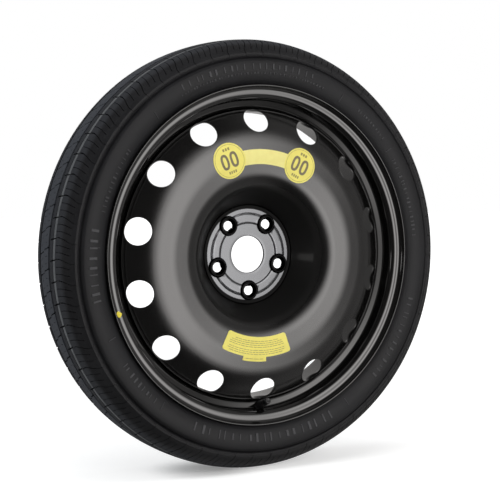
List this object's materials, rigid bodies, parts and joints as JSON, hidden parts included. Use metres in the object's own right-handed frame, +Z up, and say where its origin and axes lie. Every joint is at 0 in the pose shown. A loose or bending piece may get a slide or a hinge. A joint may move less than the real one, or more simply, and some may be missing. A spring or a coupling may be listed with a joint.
{
  "type": "space saver spare wheel",
  "caption": "Narrow temporary spare wheel: a black pressed steel disc with vent holes in a rolled rim, a thin tyre, a snap-in valve and yellow speed stickers.",
  "frame": {"origin": "centre of the wheel, on its axis and half way across the tyre", "axes": "+Y along the axle towards the car, so the outer face looks along -Y; +Z up, with the valve at the bottom as in the picture"},
  "size_m": [0.66, 0.1288, 0.66],
  "materials": {
    "tyre_rubber": "satin moulded rubber",
    "bead_wire": "drawn wire",
    "rim_paint": "gloss black",
    "disc_paint": "gloss black",
    "valve_rubber": "satin",
    "valve_brass": "machined",
    "seal_rubber": "matt",
    "pin_brass": "machined",
    "spring_steel": "drawn wire",
    "cap_plastic": "matt black",
    "sticker_film": "printed film",
    "mark_paint": "paint spot"
  },
  "bodies": {
    "wheel": {"tyre": "tyre_rubber", "bead_core_outboard": "bead_wire", "bead_core_inboard": "bead_wire", "rim": "rim_paint", "disc": "disc_paint", "disc_welds": "rim_paint", "valve_body": "valve_rubber", "valve_stem": "valve_brass", "core_plug": "valve_brass", "core_seal": "seal_rubber", "core_spring": "spring_steel", "speed_label": "sticker_film", "note_label": "sticker_film", "match_dot": "mark_paint"},
    "cap": {"valve_cap": "cap_plastic", "cap_seal": "seal_rubber"},
    "plunger": {"core_pin": "pin_brass", "cup_seal": "seal_rubber"}
  },
  "joints": [
    {"name": "cap_unscrew", "type": "slide", "parent": "wheel", "child": "cap", "axis": [-0.0099, -0.9292, 0.3694], "range_m": [0, 0.014]},
    {"name": "pin_press", "type": "slide", "parent": "wheel", "child": "plunger", "axis": [0.0099, 0.9292, -0.3694], "range_m": [0, 0.0015], "stiffness_N_per_m": 1500, "springref_m": -0.0012, "deforming": ["core_spring"]}
  ]
}
